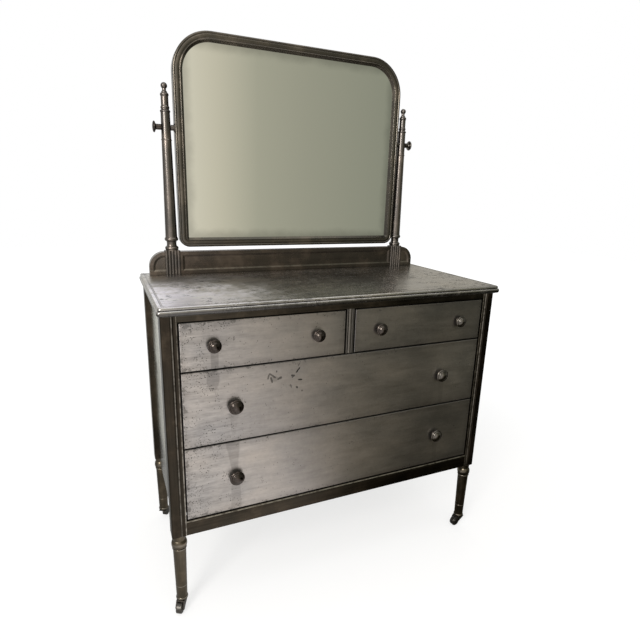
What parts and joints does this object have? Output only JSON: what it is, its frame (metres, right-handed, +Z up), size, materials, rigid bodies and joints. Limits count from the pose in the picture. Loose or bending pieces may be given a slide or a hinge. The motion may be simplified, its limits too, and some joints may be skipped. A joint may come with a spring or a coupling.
{
  "type": "dresser with mirror",
  "caption": "Steel dresser with small and full-width drawers on turned legs with casters, under a framed mirror that tilts between two turned posts.",
  "frame": {"origin": "middle of the footprint at floor level", "axes": "+X to the right of someone facing the drawers, the drawers open towards -Y, +Z up"},
  "size_m": [1.067, 0.523, 1.6555],
  "materials": {
    "top_steel": "brushed, scuffed, clear coated",
    "dark_steel": "dark brown-grey bare steel, clear coated",
    "front_steel": "brushed along the width, clear coated",
    "side_steel": "smooth, clear coated",
    "back_steel": "plain dark sheet",
    "inner_steel": "plain sheet",
    "core_board": "plain composition board",
    "knob_metal": "near black, glossy",
    "hardware_steel": "plain",
    "mirror_glass": "slightly aged silvering",
    "caster_steel": "dark, worn",
    "wheel_steel": "worn tread"
  },
  "bodies": {
    "carcass": {"top_panel": "top_steel", "top_core_board": "core_board", "front_left_post": "dark_steel", "front_right_post": "dark_steel", "rear_left_post": "dark_steel", "rear_right_post": "dark_steel", "left_side_panel": "side_steel", "right_side_panel": "side_steel", "side_rails": "inner_steel", "back_panel": "back_steel", "rear_rails": "inner_steel", "apron_rail": "dark_steel", "bottom_front_rail": "dark_steel", "centre_stile": "front_steel", "divider_rails": "inner_steel", "side_runners": "inner_steel", "centre_runner": "inner_steel", "front_left_leg": "dark_steel", "front_right_leg": "dark_steel", "rear_left_leg": "dark_steel", "rear_right_leg": "dark_steel", "caster_sockets": "hardware_steel", "backboard": "dark_steel", "backboard_ends": "dark_steel", "left_harp_post": "dark_steel", "right_harp_post": "dark_steel", "harp_finials": "dark_steel", "harp_bolts": "hardware_steel"},
    "left_small_drawer": {"left_small_drawer_front": "front_steel", "left_small_drawer_box": "inner_steel", "left_small_drawer_knobs": "knob_metal", "left_small_drawer_knob_screws": "hardware_steel"},
    "right_small_drawer": {"right_small_drawer_front": "front_steel", "right_small_drawer_box": "inner_steel", "right_small_drawer_knobs": "knob_metal", "right_small_drawer_knob_screws": "hardware_steel"},
    "middle_drawer": {"middle_drawer_front": "front_steel", "middle_drawer_box": "inner_steel", "middle_drawer_knobs": "knob_metal", "middle_drawer_knob_screws": "hardware_steel"},
    "bottom_drawer": {"bottom_drawer_front": "front_steel", "bottom_drawer_box": "inner_steel", "bottom_drawer_knobs": "knob_metal", "bottom_drawer_knob_screws": "hardware_steel"},
    "mirror": {"mirror_frame": "dark_steel", "mirror_glass": "mirror_glass", "mirror_back": "back_steel", "mirror_back_clips": "hardware_steel", "mirror_pivots": "hardware_steel"},
    "left_thumb_screw": {"left_thumb_screw": "knob_metal"},
    "right_thumb_screw": {"right_thumb_screw": "knob_metal"},
    "front_left_caster": {"front_left_caster_fork": "caster_steel"},
    "front_left_wheel": {"front_left_wheel": "wheel_steel"},
    "front_right_caster": {"front_right_caster_fork": "caster_steel"},
    "front_right_wheel": {"front_right_wheel": "wheel_steel"},
    "rear_left_caster": {"rear_left_caster_fork": "caster_steel"},
    "rear_left_wheel": {"rear_left_wheel": "wheel_steel"},
    "rear_right_caster": {"rear_right_caster_fork": "caster_steel"},
    "rear_right_wheel": {"rear_right_wheel": "wheel_steel"}
  },
  "joints": [
    {"name": "left_small_drawer_slide", "type": "slide", "parent": "carcass", "child": "left_small_drawer", "axis": [0, -1, 0], "range_m": [0, 0.33]},
    {"name": "right_small_drawer_slide", "type": "slide", "parent": "carcass", "child": "right_small_drawer", "axis": [0, -1, 0], "range_m": [0, 0.33]},
    {"name": "middle_drawer_slide", "type": "slide", "parent": "carcass", "child": "middle_drawer", "axis": [0, -1, 0], "range_m": [0, 0.33]},
    {"name": "bottom_drawer_slide", "type": "slide", "parent": "carcass", "child": "bottom_drawer", "axis": [0, -1, 0], "range_m": [0, 0.33]},
    {"name": "mirror_tilt", "type": "hinge", "parent": "carcass", "child": "mirror", "pos_m": [0, 0.2265, 1.372], "axis": [1, 0, 0], "range_deg": [-45, 45]},
    {"name": "left_thumb_screw_turn", "type": "hinge", "parent": "carcass", "child": "left_thumb_screw", "pos_m": [-0.459, 0.2265, 1.372], "axis": [-1, 0, 0], "range_deg": [0, 360]},
    {"name": "right_thumb_screw_turn", "type": "hinge", "parent": "carcass", "child": "right_thumb_screw", "pos_m": [0.459, 0.2265, 1.372], "axis": [1, 0, 0], "range_deg": [0, 360]},
    {"name": "front_left_swivel", "type": "hinge", "parent": "carcass", "child": "front_left_caster", "pos_m": [-0.505, -0.22, 0.037], "axis": [0, 0, 1], "continuous": true},
    {"name": "front_left_wheel_turn", "type": "hinge", "parent": "front_left_caster", "child": "front_left_wheel", "pos_m": [-0.5135, -0.23472, 0.016], "axis": [0.866, -0.5, 0], "continuous": true},
    {"name": "front_right_swivel", "type": "hinge", "parent": "carcass", "child": "front_right_caster", "pos_m": [0.505, -0.22, 0.037], "axis": [0, 0, 1], "continuous": true},
    {"name": "front_right_wheel_turn", "type": "hinge", "parent": "front_right_caster", "child": "front_right_wheel", "pos_m": [0.48807, -0.22148, 0.016], "axis": [0.0872, -0.9962, 0], "continuous": true},
    {"name": "rear_left_swivel", "type": "hinge", "parent": "carcass", "child": "rear_left_caster", "pos_m": [-0.505, 0.221, 0.037], "axis": [0, 0, 1], "continuous": true},
    {"name": "rear_left_wheel_turn", "type": "hinge", "parent": "rear_left_caster", "child": "rear_left_wheel", "pos_m": [-0.4965, 0.23572, 0.016], "axis": [-0.866, 0.5, 0], "continuous": true},
    {"name": "rear_right_swivel", "type": "hinge", "parent": "carcass", "child": "rear_right_caster", "pos_m": [0.505, 0.221, 0.037], "axis": [0, 0, 1], "continuous": true},
    {"name": "rear_right_wheel_turn", "type": "hinge", "parent": "rear_right_caster", "child": "rear_right_wheel", "pos_m": [0.4965, 0.23572, 0.016], "axis": [-0.866, -0.5, 0], "continuous": true}
  ]
}
